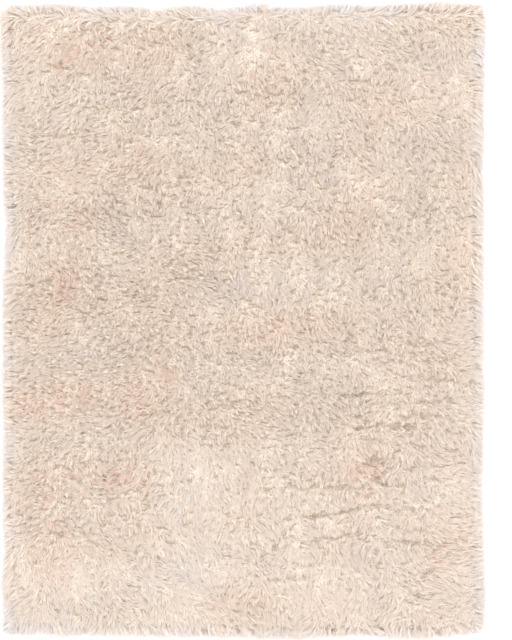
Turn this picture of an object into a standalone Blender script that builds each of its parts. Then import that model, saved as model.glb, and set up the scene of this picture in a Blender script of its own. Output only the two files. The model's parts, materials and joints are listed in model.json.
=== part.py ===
"""Shag rug, 1.6 by 2.1 m: one closed body, as the rug lies flat with its long pile combed over.

Metres, +Z up. The origin is on the floor under the rug's middle, the long sides run along Y, and
the head of the rug is at +Y. A rug of one piece is one solid: its flat underside, a side that
swells out and rolls over as the pile does, and a softly uneven top with the main partings.
"""

from collections import namedtuple
import math

import bmesh
import bpy
import numpy as np

NAME = "shag_rug"

WIDTH = 1.600  # side to side, along X
LENGTH = 2.100  # foot to head, along Y
PILE_TOP = 0.036  # height of the lying pile over the floor, away from swells and partings

# Cells of the top's grid. The first and last CORNER_CELLS of each side go half way round a corner.
CELLS_ACROSS = 40
CELLS_ALONG = 52
CORNER_CELLS = 2
LEAST_RADIUS = 0.015  # a corner's radius, however far in from the outline it is measured

# How round each corner of the outline is, going round from the foot's left.
Corner = namedtuple("Corner", "name right head radius")
CORNERS = (
    Corner("foot_left", -1, -1, 0.024),
    Corner("foot_right", 1, -1, 0.036),
    Corner("head_right", 1, 1, 0.030),
    Corner("head_left", -1, 1, 0.040),
)

# The section through the rolled edge, from the floor up: how far in from the outline, how high.
EdgeRow = namedtuple("EdgeRow", "inset height")
EDGE = (
    EdgeRow(0.010, 0.000),
    EdgeRow(0.002, 0.006),
    EdgeRow(0.000, 0.013),
    EdgeRow(0.003, 0.022),
    EdgeRow(0.012, 0.030),
    EdgeRow(0.025, 0.034),
)
TOP_INSET = 0.045  # where the rolled edge meets the top

# Where an edge runs out or falls back from its straight line: where along it, how far, how wide.
Bulge = namedtuple("Bulge", "at out spread")
EDGE_BULGES = {
    "foot": (
        Bulge(-0.70, -0.008, 0.08),
        Bulge(-0.45, -0.004, 0.16),
        Bulge(0.13, 0.007, 0.14),
        Bulge(0.58, 0.006, 0.09),
        Bulge(0.74, -0.006, 0.05),
    ),
    "right": (
        Bulge(0.95, 0.005, 0.10),
        Bulge(-0.58, -0.007, 0.12),
        Bulge(-0.92, 0.006, 0.07),
    ),
    "head": (
        Bulge(-0.61, 0.004, 0.05),
        Bulge(-0.50, -0.006, 0.04),
        Bulge(-0.29, -0.010, 0.08),
        Bulge(-0.07, -0.012, 0.06),
        Bulge(0.06, 0.006, 0.05),
        Bulge(0.16, -0.009, 0.05),
        Bulge(0.34, 0.003, 0.07),
        Bulge(0.64, 0.009, 0.12),
    ),
    "left": (
        Bulge(0.93, 0.007, 0.10),
        Bulge(0.30, -0.009, 0.12),
        Bulge(-0.37, -0.004, 0.10),
        Bulge(-0.74, -0.006, 0.07),
        Bulge(-0.97, -0.005, 0.04),
    ),
}
BULGE_FADE = 8  # the power by which a bulge dies away from its edge towards the middle

# Low swells of the top, where the pile stands fuller or is pressed flatter.
Swell = namedtuple("Swell", "x y rise spread")
SWELLS = (
    Swell(-0.55, 0.62, -0.0020, 0.22),
    Swell(-0.20, 0.20, 0.0015, 0.30),
    Swell(0.45, 0.55, 0.0015, 0.35),
    Swell(-0.45, -0.55, -0.0020, 0.30),
    Swell(0.05, -0.80, 0.0015, 0.25),
    Swell(0.55, -0.70, -0.0015, 0.25),
)

# Partings, where the pile falls away to both sides of a line that runs mostly across the rug.
Parting = namedtuple("Parting", "x y half_length slope depth")
PARTINGS = (
    Parting(0.42, -0.130, 0.20, 0.10, 0.004),
    Parting(0.36, -0.235, 0.22, 0.05, 0.005),
    Parting(0.40, -0.330, 0.24, 0.08, 0.005),
    Parting(0.34, -0.455, 0.22, 0.00, 0.004),
    Parting(0.26, -0.550, 0.18, 0.02, 0.006),
    Parting(0.38, -0.625, 0.22, 0.14, 0.006),
    Parting(0.28, -0.725, 0.28, 0.12, 0.006),
    Parting(0.12, -0.850, 0.16, 0.03, 0.005),
)
PARTING_WIDTH = 0.022  # from a parting's line to where it is a third as deep

PILE_COLOUR = (0.83, 0.70, 0.58, 1.0)  # warm cream
PILE_ROUGHNESS = 0.9


def clear_scene():
    for old in list(bpy.data.objects):
        bpy.data.objects.remove(old, do_unlink=True)


def corner_at(number, inset):
    """A corner's centre and radius on the ring that lies this far in from the outline."""
    corner = CORNERS[number % len(CORNERS)]
    radius = max(corner.radius - inset, LEAST_RADIUS)
    half = np.array((WIDTH / 2, LENGTH / 2)) - inset - radius
    return half * (corner.right, corner.head), radius


def side_of_ring(number, inset):
    """The points of one side of a ring: half a corner, the straight and half the next corner.

    Side 0 is the foot. Each next side is a quarter turn further round. The last point is the
    next side's first, and is left out.
    """
    cells = CELLS_ACROSS if number % 2 == 0 else CELLS_ALONG
    facing = math.radians(90 * number - 90)
    half_turn = np.linspace(0, math.pi / 4, CORNER_CELLS, endpoint=False)

    def on_arc(centre, radius, angles):
        return centre + radius * np.column_stack((np.cos(angles), np.sin(angles)))

    start, start_radius = corner_at(number, inset)
    end, end_radius = corner_at(number + 1, inset)
    into = on_arc(start, start_radius, facing - math.pi / 4 + half_turn)
    out_of = on_arc(end, end_radius, facing + half_turn)
    leaves = on_arc(start, start_radius, np.array([facing]))
    share = np.linspace(0, 1, cells - 2 * CORNER_CELLS, endpoint=False)[:, None]
    straight = leaves + share * (out_of[0] - leaves)
    return np.vstack((into, straight, out_of))


def ring(inset):
    """The four sides of the ring that lies this far in from the outline, counter-clockwise."""
    return [side_of_ring(number, inset) for number in range(len(CORNERS))]


def patch_inside(sides):
    """A grid of points that fills four sides: each point blends its row and its column (Coons)."""
    foot, right, head, left = sides
    foot = np.vstack((foot, right[:1]))
    right = np.vstack((right, head[:1]))
    head = np.vstack((head, left[:1]))[::-1]
    left = np.vstack((left, foot[:1]))[::-1]
    across = np.linspace(0, 1, CELLS_ACROSS + 1)[None, :, None]
    along = np.linspace(0, 1, CELLS_ALONG + 1)[:, None, None]
    rows = (1 - along) * foot[None] + along * head[None]
    columns = (1 - across) * left[:, None] + across * right[:, None]
    corners = (1 - along) * ((1 - across) * foot[0] + across * foot[-1]) + along * (
        (1 - across) * head[0] + across * head[-1]
    )
    return rows + columns - corners


def bulged(points):
    """The points moved out or in with the bulges of the nearest edges."""
    x, y = points[..., 0], points[..., 1]
    reach_x = np.abs(2 * x / WIDTH) ** BULGE_FADE
    reach_y = np.abs(2 * y / LENGTH) ** BULGE_FADE

    def push(edge, along):
        return sum(b.out * np.exp(-(((along - b.at) / b.spread) ** 2)) for b in EDGE_BULGES[edge])

    out_x = np.where(x > 0, push("right", y), -push("left", y)) * reach_x
    out_y = np.where(y > 0, push("head", x), -push("foot", x)) * reach_y
    return np.stack((x + out_x, y + out_y), axis=-1)


def top_height(points):
    """The top's height: the lying pile, its swells, and the soft troughs of its partings."""
    x, y = points[..., 0], points[..., 1]
    height = np.full(x.shape, PILE_TOP)
    for swell in SWELLS:
        away = ((x - swell.x) ** 2 + (y - swell.y) ** 2) / swell.spread**2
        height = height + swell.rise * np.exp(-away)
    for parting in PARTINGS:
        off_line = y - parting.y - parting.slope * (x - parting.x)
        along = (x - parting.x) / parting.half_length
        height = height - parting.depth * np.exp(-((off_line / PARTING_WIDTH) ** 2) - along**4)
    return height


def lofted_mesh(rings, top):
    """A closed mesh: the underside, the rings of the rolled edge from the floor up, and the top."""
    bm = bmesh.new()

    def add(points):
        return [bm.verts.new(point) for point in points.reshape(-1, 3).tolist()]

    loops = [add(points) for points in rings]
    rows, columns = top.shape[:2]
    grid = np.array(add(top), dtype=object).reshape(rows, columns)
    rim = [*grid[0, :-1], *grid[:-1, -1], *grid[-1, :0:-1], *grid[:0:-1, 0]]
    loops.append(rim)
    for lower, upper in zip(loops, loops[1:]):
        for i, vertex in enumerate(lower):
            after = (i + 1) % len(lower)
            bm.faces.new((vertex, lower[after], upper[after], upper[i]))
    for j in range(rows - 1):
        for i in range(columns - 1):
            bm.faces.new((grid[j, i], grid[j, i + 1], grid[j + 1, i + 1], grid[j + 1, i]))
    underside = bm.faces.new(loops[0][::-1])
    bmesh.ops.triangulate(bm, faces=[underside], ngon_method="BEAUTY")
    mesh = bpy.data.meshes.new(NAME)
    bm.to_mesh(mesh)
    bm.free()
    mesh.shade_smooth()
    return mesh


def pile_material():
    material = bpy.data.materials.new("cream_pile")
    material.use_nodes = True
    shader = material.node_tree.nodes["Principled BSDF"]
    shader.inputs["Base Color"].default_value = PILE_COLOUR
    shader.inputs["Roughness"].default_value = PILE_ROUGHNESS
    shader.inputs["Metallic"].default_value = 0.0
    return material


def shag_rug():
    """The rug as it lies."""
    rings = []
    for row in EDGE:
        outline = bulged(np.vstack(ring(row.inset)))
        rings.append(np.column_stack((outline, np.full(len(outline), row.height))))
    inside = bulged(patch_inside(ring(TOP_INSET)))
    top = np.concatenate((inside, top_height(inside)[..., None]), axis=-1)
    rug = bpy.data.objects.new(NAME, lofted_mesh(rings, top))
    rug.data.materials.append(pile_material())
    bpy.context.scene.collection.objects.link(rug)
    return rug


clear_scene()
shag_rug()
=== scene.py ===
"""Shag rug, 1.6 by 2.1 m: a woven ground cloth with a long, combed-over cream pile tufted into it.

Metres, +Z up. The origin is on the floor under the rug's middle, and the head of the rug is at +Y.
The pile is made as it is tufted: tufts stand in the ground cloth, and each tuft is a few ends of
soft yarn whose tips draw together. A rolled border of tufts hangs over the cloth's edge.
"""

from collections import namedtuple
import itertools
import json
import math

import bpy
from bpy.props import FloatProperty, FloatVectorProperty, IntProperty, PointerProperty
import numpy as np
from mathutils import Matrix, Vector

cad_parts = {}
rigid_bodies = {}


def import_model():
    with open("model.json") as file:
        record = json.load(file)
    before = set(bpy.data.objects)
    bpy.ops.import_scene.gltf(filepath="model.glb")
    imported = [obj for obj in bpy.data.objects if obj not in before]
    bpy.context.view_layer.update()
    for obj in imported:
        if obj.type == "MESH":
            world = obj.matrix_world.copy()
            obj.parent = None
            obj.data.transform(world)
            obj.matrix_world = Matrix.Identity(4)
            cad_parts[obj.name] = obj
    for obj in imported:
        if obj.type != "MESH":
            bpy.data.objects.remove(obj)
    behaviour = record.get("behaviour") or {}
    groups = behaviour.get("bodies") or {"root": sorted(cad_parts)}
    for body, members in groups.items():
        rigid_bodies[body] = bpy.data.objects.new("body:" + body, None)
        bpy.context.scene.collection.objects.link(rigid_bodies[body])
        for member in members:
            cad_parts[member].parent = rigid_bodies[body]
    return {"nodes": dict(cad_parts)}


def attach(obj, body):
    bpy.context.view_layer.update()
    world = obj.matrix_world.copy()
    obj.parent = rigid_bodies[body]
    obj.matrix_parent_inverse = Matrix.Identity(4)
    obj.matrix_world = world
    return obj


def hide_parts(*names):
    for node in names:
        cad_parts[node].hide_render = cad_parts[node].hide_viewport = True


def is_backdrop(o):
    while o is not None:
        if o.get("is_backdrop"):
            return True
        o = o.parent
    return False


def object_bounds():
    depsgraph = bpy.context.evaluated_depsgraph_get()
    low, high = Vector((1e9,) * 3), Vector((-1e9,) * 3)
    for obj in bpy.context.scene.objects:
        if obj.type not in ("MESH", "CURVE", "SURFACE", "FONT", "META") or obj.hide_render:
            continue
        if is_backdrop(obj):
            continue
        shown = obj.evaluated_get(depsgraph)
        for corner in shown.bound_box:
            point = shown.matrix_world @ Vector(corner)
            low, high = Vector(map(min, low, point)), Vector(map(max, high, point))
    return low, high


bl_info = {
    "name": "Shag rug",
    "version": (1, 0, 0),
    "blender": (4, 5, 0),
    "location": "View3D > Sidebar > Shag rug",
    "description": "Makes a cream shag rug: its ground cloth, its tufted pile and a stage for it",
    "category": "Add Mesh",
}

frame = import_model()
FRAME_LOW, FRAME_HIGH = (np.array(corner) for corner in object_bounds())
RUG_NODE = "shag_rug"
YARN_MAP = "OFBake"  # the yarn's own UV map: its shade runs along u, and root to tip along v

# How the pile is combed. Round (x, y), as far as reach, it points along heading, in degrees turning
# left from +X, and its stand goes from 0, pressed flat, to 1, upright. pull says how firmly.
Combing = namedtuple("Combing", "x y reach heading stand pull")
COMBINGS = (
    Combing(-0.40, 0.85, 0.18, 252, 0.50, 1.0),
    Combing(-0.10, 0.90, 0.16, 262, 0.35, 0.8),
    Combing(-0.70, 0.88, 0.10, 230, 0.25, 1.0),
    Combing(-0.54, 0.74, 0.08, 240, 0.22, 0.9),
    Combing(-0.70, 0.52, 0.12, 184, 0.45, 1.2),
    Combing(-0.50, 0.54, 0.10, 205, 0.50, 1.0),
    Combing(-0.28, 0.55, 0.14, 255, 0.60, 1.0),
    Combing(-0.68, 0.22, 0.06, 275, 0.55, 1.4),
    Combing(-0.52, 0.30, 0.08, 318, 0.60, 1.0),
    Combing(-0.31, 0.15, 0.14, 335, 0.65, 1.1),
    Combing(-0.50, 0.02, 0.10, 196, 0.70, 0.8),
    Combing(-0.72, 0.02, 0.08, 186, 0.75, 1.0),
    Combing(-0.72, -0.20, 0.14, 180, 0.50, 1.2),
    Combing(-0.43, -0.24, 0.12, 188, 0.65, 0.9),
    Combing(-0.18, -0.15, 0.12, 268, 0.80, 1.0),
    Combing(-0.31, -0.53, 0.09, 207, 0.45, 1.2),
    Combing(-0.52, -0.64, 0.12, 302, 0.40, 1.0),
    Combing(-0.70, -0.60, 0.10, 196, 0.55, 1.0),
    Combing(-0.70, -0.88, 0.14, 262, 0.07, 1.2),
    Combing(-0.18, -0.56, 0.13, 272, 0.12, 1.3),
    Combing(-0.24, -0.87, 0.15, 322, 0.10, 1.0),
    Combing(0.10, -0.28, 0.16, 322, 0.55, 1.0),
    Combing(0.08, -0.62, 0.14, 290, 0.15, 0.8),
    Combing(0.45, -0.25, 0.22, 284, 0.55, 0.9),
    Combing(0.42, -0.62, 0.22, 282, 0.34, 0.9),
    Combing(0.30, -0.90, 0.12, 275, 0.06, 1.0),
    Combing(0.70, -0.08, 0.10, 345, 0.35, 0.8),
    Combing(0.70, -0.42, 0.12, 340, 0.20, 0.8),
    Combing(0.72, -0.64, 0.08, 5, 0.00, 1.0),
    Combing(0.70, -0.84, 0.10, 18, 0.10, 1.2),
    Combing(0.40, 0.45, 0.30, 278, 0.45, 0.7),
    Combing(0.62, 0.80, 0.22, 300, 0.30, 0.7),
)
NAP_HEADING = 276  # degrees: away from all combing the pile lies to the foot
NAP_PULL = 0.12
NAP_STAND = 0.40

# Partings, where the lying pile breaks along a line and the roots behind it show. Each line runs
# half_length both ways from (x, y) and climbs by slope. gap is how wide the roots show.
Parting = namedtuple("Parting", "x y half_length slope gap")
PARTINGS = (
    Parting(0.600, -0.070, 0.080, 0.00, 0.0026),
    Parting(0.380, -0.098, 0.100, 0.02, 0.0026),
    Parting(0.598, -0.103, 0.040, 0.00, 0.0030),
    Parting(0.600, -0.132, 0.130, 0.06, 0.0030),
    Parting(0.640, -0.195, 0.090, -0.06, 0.0028),
    Parting(0.400, -0.243, 0.085, 0.08, 0.0044),
    Parting(0.555, -0.235, 0.075, 0.25, 0.0030),
    Parting(0.580, -0.268, 0.100, 0.03, 0.0034),
    Parting(0.565, -0.315, 0.060, -0.03, 0.0034),
    Parting(0.468, -0.350, 0.105, 0.04, 0.0038),
    Parting(0.427, -0.392, 0.045, 0.05, 0.0030),
    Parting(0.665, -0.433, 0.040, 0.15, 0.0032),
    Parting(0.430, -0.462, 0.040, 0.20, 0.0038),
    Parting(0.580, -0.485, 0.110, 0.06, 0.0036),
    Parting(0.657, -0.522, 0.035, -0.10, 0.0034),
    Parting(0.258, -0.553, 0.135, 0.00, 0.0034),
    Parting(0.478, -0.540, 0.060, -0.25, 0.0032),
    Parting(0.320, -0.635, 0.150, 0.16, 0.0044),
    Parting(0.535, -0.628, 0.065, -0.28, 0.0036),
    Parting(0.710, -0.650, 0.030, 0.05, 0.0034),
    Parting(0.563, -0.690, 0.055, -0.10, 0.0028),
    Parting(0.270, -0.722, 0.170, 0.14, 0.0038),
    Parting(0.020, -0.743, 0.045, -0.25, 0.0030),
    Parting(0.545, -0.732, 0.090, -0.09, 0.0034),
    Parting(0.180, -0.808, 0.100, 0.02, 0.0026),
    Parting(0.723, -0.800, 0.035, 0.10, 0.0030),
    Parting(0.137, -0.852, 0.067, 0.05, 0.0034),
    Parting(0.597, -0.835, 0.055, 0.25, 0.0036),
    Parting(0.600, -0.905, 0.040, 0.10, 0.0028),
    Parting(-0.610, 0.843, 0.040, -0.40, 0.0030),
    Parting(-0.427, 0.660, 0.035, -0.40, 0.0034),
    Parting(-0.617, 0.617, 0.080, 0.05, 0.0028),
    Parting(-0.740, 0.573, 0.035, 0.00, 0.0030),
    Parting(-0.260, 0.590, 0.050, -0.20, 0.0028),
    Parting(-0.457, 0.277, 0.022, -0.50, 0.0034),
    Parting(-0.400, 0.217, 0.035, -0.10, 0.0030),
    Parting(-0.653, 0.133, 0.030, 0.20, 0.0032),
    Parting(-0.515, 0.020, 0.028, -0.50, 0.0034),
    Parting(-0.713, 0.000, 0.035, 0.10, 0.0034),
    Parting(-0.193, 0.137, 0.032, 0.00, 0.0030),
)
PARTING_WIDTH = 0.0055  # from a parting's line to where it is a third as deep
PARTING_DEPTH = 0.008
BROADEST_GAP = 0.0065
# The under-pile's grid has finer rows, this far apart, between these two places along the rug.
PARTED_FROM, PARTED_TO, PARTED_CELL = -0.93, -0.05, 0.0048
BREAK_CELL = 0.0140  # side of a cell of the grid of short breaks, where the pile's locks come apart
BREAK_REACH = 3  # how many cells away a break may still cut an end
BREAK_CHANCE, BREAK_CHANCE_UPRIGHT = -0.06, 0.68  # of a cell's break, and how much more upright
BREAK_HALF = (0.004, 0.015)  # half its length, and its gap: the least and the most
BREAK_GAP = (0.0010, 0.0030)
BREAK_TURN = 0.28  # radians that it strays from its row
BREAK_PLACE = ((0, 0.3), (1, 0.7))  # the corners of the part of its cell where its middle may be
BREAK_MARGIN = 0.03  # there are none this near to the outline
WAVERS_FULLY = 0.05  # a line of this half length or more takes all of the wavering
NEARLY_CROSSES = 0.002  # an end whose tip stops this near behind a line is broken off too
PUSH_REACH, PUSH_FADE = 0.03, 0.008  # how far from a line roots are still moved out of its gap
LEAST_SHARE = 0.10  # of an end's reach that a line leaves

# Where the yarn took the dye warmer or cooler: how far along the row of shades it moves.
Tint = namedtuple("Tint", "x y reach shift")
TINTS = (
    Tint(-0.49, 0.93, 0.07, 0.20),
    Tint(-0.59, 0.87, 0.06, 0.20),
    Tint(-0.53, 0.33, 0.06, 0.22),
    Tint(-0.59, 0.15, 0.07, 0.22),
    Tint(-0.36, 0.57, 0.08, 0.14),
    Tint(-0.26, -0.17, 0.06, 0.22),
    Tint(-0.55, -0.24, 0.07, 0.20),
    Tint(-0.73, -0.29, 0.05, 0.20),
    Tint(-0.02, -0.03, 0.05, 0.06),
    Tint(-0.62, -0.06, 0.06, 0.14),
    Tint(-0.51, -0.48, 0.07, 0.14),
    Tint(-0.33, -0.29, 0.05, 0.16),
    Tint(-0.39, -0.53, 0.09, 0.22),
    Tint(-0.63, -0.67, 0.10, 0.24),
    Tint(0.43, -0.53, 0.08, 0.18),
    Tint(0.62, -0.80, 0.05, 0.16),
    Tint(-0.20, -0.60, 0.12, -0.14),
    Tint(-0.30, -0.90, 0.16, -0.10),
    Tint(0.42, -0.73, 0.06, -0.16),
)

# The pile's rim is painted cooler, greyer and darker: painted shade where the pile curves down at the
# rug's edge.
RIM_SHADE_WIDTH = 0.036  # how far in from the outline the yarn is cooler
MIDDLE_SHADE, RIM_SHADE = 0.42, 0.55  # the yarn's place on the row of shades, and what the rim lacks
SHADE_STRAY = 0.04  # how far an end strays from its place by chance
SHADE_LIMITS = (0.03, 0.95)

# Soft unevenness of the rug: how large it is, how far from wave to wave, and its own seed.
Ripple = namedtuple("Ripple", "size wavelength seed")
HEADING_RIPPLES = (Ripple(0.45, 0.16, 31), Ripple(0.20, 0.045, 32))  # radians
STAND_RIPPLES = (Ripple(0.06, 0.10, 33),)
PARTING_RIPPLES = (Ripple(0.005, 0.07, 41), Ripple(0.002, 0.02, 42))
SHADE_RIPPLES = (Ripple(0.07, 0.30, 51), Ripple(0.035, 0.06, 52))
TINT_RIPPLES = (Ripple(0.7, 0.035, 53),)
UNDER_RIPPLES = (Ripple(0.0018, 0.030, 61), Ripple(0.0008, 0.300, 62))
BREAK_ROW_RIPPLES = (Ripple(0.010, 0.20, 72),)
BREAK_TURN_RIPPLES = (Ripple(0.28, 0.35, 73),)  # radians
WAVES = 10  # in each of them
WAVE_SPREAD = (0.7, 1.4)  # how their lengths spread, as shares of the wavelength
LOCK_WIDTH = 0.034  # from one lock of the pile to the next, about
LOCK_PULL = 0.10  # how firmly tufts are drawn together into their locks
LOCK_SEED = 34

EDGE_LEAN, EDGE_LEAN_REACH = 2.2, 0.050  # how firmly and how far in the pile leans out to the edge
EDGE_STEADIER = 0.7  # what share of its heading's unevenness it loses there
OPPOSED_STAND = 0.3  # how much more the pile stands where combings work against each other

CLOTH_CELL = 0.040  # side of a cell of the ground cloth's grid
CORNER_LINES = (0.45, 0.75, 0.93, 1.0)  # the grids' lines through a corner, as shares of its radius
CLEAR = 0.0003  # kept between the ground cloth and what lies on and under it
FIELD_BANDS = ("foot", "lower", "middle", "upper", "head")
FIELD_JITTER = 0.38  # how far a tuft is moved from its cell's middle, as a share of the cell
BORDER_INSETS = (0.025, 0.034, 0.043)  # of its three rows of tufts, in from the outline
BORDER_JITTER = 0.003  # how far a tuft is moved in or out
BORDER_STRAY = 0.6  # how far a tuft may be moved along its row, as a share of the spacing
BORDER_DEPTH = 0.048  # the field's tufts start this far inside the outline
BORDER_STRETCH = 1.75  # how much longer an end of the border may be, to reach the outline
MOST_TRIANGLES = 200_000  # in one piece


def length_setting(name, description, default):
    """A length that can be changed in the panel."""
    return FloatProperty(name=name, description=description, default=default, unit="LENGTH")


def colour_setting(name, description, default):
    """A colour that can be changed in the panel."""
    return FloatVectorProperty(
        name=name, description=description, default=default, size=4, subtype="COLOR"
    )


class RugPileSettings(bpy.types.PropertyGroup):
    """Sizes and colours of the pile."""

    length: length_setting(
        "Pile length", "From where a yarn end comes out of the crowded under-pile to its tip", 0.038
    )
    yarn_width: length_setting("Yarn width", "Across one end at its fullest", 0.0024)
    wisp_width: length_setting(
        "Wisp width", "Across the broad, loose wisp that lies under each tuft's ends", 0.0060
    )
    tuft_gap: length_setting("Tuft spacing", "From one tuft of the field to the next", 0.0161)
    border_gap: length_setting(
        "Border tuft spacing", "From one tuft of the border to the next along its row", 0.0120
    )
    ends: IntProperty(
        name="Ends in a tuft",
        description="How many there are in one tuft, apart from its wisp",
        default=9,
    )
    translucence: FloatProperty(
        name="Translucence",
        description="How much of the light on the yarn goes through it",
        default=0.20,
        subtype="FACTOR",
    )
    tuft_radius: length_setting(
        "Tuft radius", "How far a tuft's ends stand from its middle at the ground cloth", 0.0095
    )
    tip_radius: length_setting("Tip radius", "How far a tuft's tips stay from its middle", 0.0075)
    # Painted shade: the yarn's colour darkened where the pile shades it, down at the roots.
    root_shade_colour: colour_setting(
        "Root colour", "What is left of the yarn's colour down in the pile", (0.45, 0.355, 0.26, 1)
    )
    crowd_height: length_setting(
        "Under-pile height",
        "How high over the ground cloth the tufts are too crowded to see between",
        0.0240,
    )
    crowd_cell: length_setting(
        "Under-pile cell", "Side of a cell of the under-pile's grid, away from the partings", 0.013
    )
    # Painted shade: the cream yarn darkened, as it is shaded down between the tufts.
    crowd_shade_colour: colour_setting(
        "Under-pile colour", "Of the yarn down between the tufts", (0.73, 0.640, 0.555, 1)
    )
    roll_colour: colour_setting(
        "Roll colour", "Of the crowded yarn under the border's ends", (0.93, 0.86, 0.83, 1)
    )


class RugClothSettings(bpy.types.PropertyGroup):
    """Sizes and colours of the ground cloth."""

    margin: length_setting("Margin", "How far it stays inside the rug's outline", 0.027)
    thickness: length_setting("Thickness", "Of the ground cloth", 0.003)
    corner: length_setting(
        "Corner radius",
        "Of the ground cloth's corners, and how wide the under-pile's rim is",
        0.020,
    )
    colour: colour_setting("Colour", "Of the ground cloth's yarn", (0.62, 0.51, 0.39, 1))


class RugStageSettings(bpy.types.PropertyGroup):
    """The camera over the rug."""

    lens: FloatProperty(name="Lens", description="Focal length in millimetres", default=85.0)
    view_height: length_setting(
        "View height", "How much of the pile's top the camera sees from foot to head", 2.1185
    )
    view_right: length_setting(
        "View to the right", "How far right of the rug's middle the camera stands", 0.0433
    )
    view_up: length_setting(
        "View to the head", "How far to the head of the rug's middle the camera stands", 0.0027
    )


# ---------------------------------------------------------------------------------------------
# The rug's outline, read off the frame


def outline_points():
    """The widest ring of the rug's solid, in order round the rug.

    The ring is the vertices at the height where the solid is widest, sorted by the angle at which
    each is seen from the middle.
    """
    solid = frame["nodes"][RUG_NODE].data
    points = np.empty(len(solid.vertices) * 3)
    solid.vertices.foreach_get("co", points)
    points = points.reshape(-1, 3)
    widest = points[np.argmax(points[:, 0]), 2]
    ring = np.unique(np.round(points[np.abs(points[:, 2] - widest) < 1e-4, :2], 6), axis=0)
    return ring[np.argsort(np.arctan2(ring[:, 1], ring[:, 0]))]


def nearest_side(points, outline):
    """Each point's distance to the outline, and the direction towards it.

    Every side of the outline is a segment. A point's foot on it is the projection, clamped to the
    segment's ends, and the nearest foot of all gives the distance and the direction.
    """
    side = np.roll(outline, -1, axis=0) - outline
    share = np.einsum("psk,sk->ps", points[:, None] - outline, side) / (side**2).sum(axis=1)
    away = outline + np.clip(share, 0, 1)[..., None] * side - points[:, None]
    distance = np.linalg.norm(away, axis=2)
    nearest = distance.argmin(axis=1)
    rows = np.arange(len(points))
    least = distance[rows, nearest]
    return least, away[rows, nearest] / np.maximum(least, 1e-6)[:, None]


def nearest_edge(points, outline, most=20_000):
    """The same for any number of points, so many at a time."""
    parts = np.array_split(points, len(points) // most + 1)
    distances, directions = zip(*(nearest_side(part, outline) for part in parts))
    return np.concatenate(distances), np.concatenate(directions)


def edge_distance(points, outline):
    """Each point's distance to the outline."""
    return nearest_edge(points, outline)[0]


def inward_normals(outline):
    """The directions into the rug at the outline's points.

    A side's normal is a quarter turn left of it, and a point's is the mean of its two sides'.
    """
    side = np.roll(outline, -1, axis=0) - outline
    normals = unit(np.column_stack((-side[:, 1], side[:, 0])))
    return unit(normals + np.roll(normals, 1, axis=0))


def unit(vectors):
    """The vectors at length one."""
    return vectors / np.maximum(np.linalg.norm(vectors, axis=-1, keepdims=True), 1e-9)


def turned(direction, angle):
    """The directions turned left by each angle."""
    cosine, sine = np.cos(angle), np.sin(angle)
    x, y = direction[:, 0], direction[:, 1]
    return np.column_stack((cosine * x - sine * y, sine * x + cosine * y))


# ---------------------------------------------------------------------------------------------
# How the pile lies


def plane_waves(points, wavelength, seed):
    """Plane waves of nearly one wavelength: their directions, and each one's phase at each point.

    Each wave has its own random heading, length and starting phase.
    """
    rng = np.random.default_rng(seed)
    heading = rng.uniform(0, 2 * math.pi, WAVES)
    number = 2 * math.pi / (wavelength * rng.uniform(*WAVE_SPREAD, WAVES))
    along = np.column_stack((np.cos(heading), np.sin(heading)))
    phase = points @ (along * number[:, None]).T + rng.uniform(0, 2 * math.pi, WAVES)
    return along, phase


def rippled(points, ripples):
    """A soft unevenness: the sum of these ripples, each by its size.

    A ripple goes from about -1 to 1. It is the sum of its waves' sines over the square root of
    half their number.
    """
    total = 0
    for ripple in ripples:
        _, phase = plane_waves(points, ripple.wavelength, ripple.seed)
        total = total + ripple.size * (np.sin(phase).sum(axis=1) / math.sqrt(WAVES / 2))
    return total


def ripple_slope(points, wavelength, seed):
    """Which way a ripple rises, from about -1 to 1 each way.

    It is the sum of its waves' cosines, each along its own direction, over the same root.
    """
    along, phase = plane_waves(points, wavelength, seed)
    return np.cos(phase) @ along / math.sqrt(WAVES / 2)


def combed(points):
    """The pile's direction, not yet of length one, and its stand, at each point.

    Each combing counts by a bell curve of the distance to it over its reach. The direction is the
    weighted sum of their headings, with the nap's own, and the stand is the weighted mean.
    """
    nap = math.radians(NAP_HEADING)
    direction = NAP_PULL * np.tile((math.cos(nap), math.sin(nap)), (len(points), 1))
    stand = np.full(len(points), NAP_PULL * NAP_STAND)
    total = np.full(len(points), NAP_PULL)
    for combing in COMBINGS:
        away = (points - (combing.x, combing.y)) / combing.reach
        weight = combing.pull * np.exp(-(away**2).sum(axis=1))
        heading = math.radians(combing.heading)
        direction += weight[:, None] * (math.cos(heading), math.sin(heading))
        stand += weight * combing.stand
        total += weight
    return direction / total[:, None], stand / total


Tufts = namedtuple("Tufts", "roots direction stand outward")


def tufts_at(roots, outline):
    """The tufts at these roots: where each points and how upright it is.

    Near the outline the pile leans out over it. Fine ripples draw it up their slopes into locks.
    Where combings work against each other their sum is short, and the pile stands up by what the
    sum lacks.
    """
    direction, stand = combed(roots)
    direction += LOCK_PULL * ripple_slope(roots, LOCK_WIDTH, LOCK_SEED)
    edge, outward = nearest_edge(roots, outline)
    near = np.exp(-((edge / EDGE_LEAN_REACH) ** 2))
    direction += EDGE_LEAN * near[:, None] * outward
    lacking = 1 - np.minimum(np.linalg.norm(direction, axis=1), 1)
    stand = stand + OPPOSED_STAND * lacking + rippled(roots, STAND_RIPPLES)
    angle = rippled(roots, HEADING_RIPPLES) * (1 - EDGE_STEADIER * near)
    return Tufts(roots, turned(unit(direction), angle), np.clip(stand, 0, 1), outward)


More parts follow.
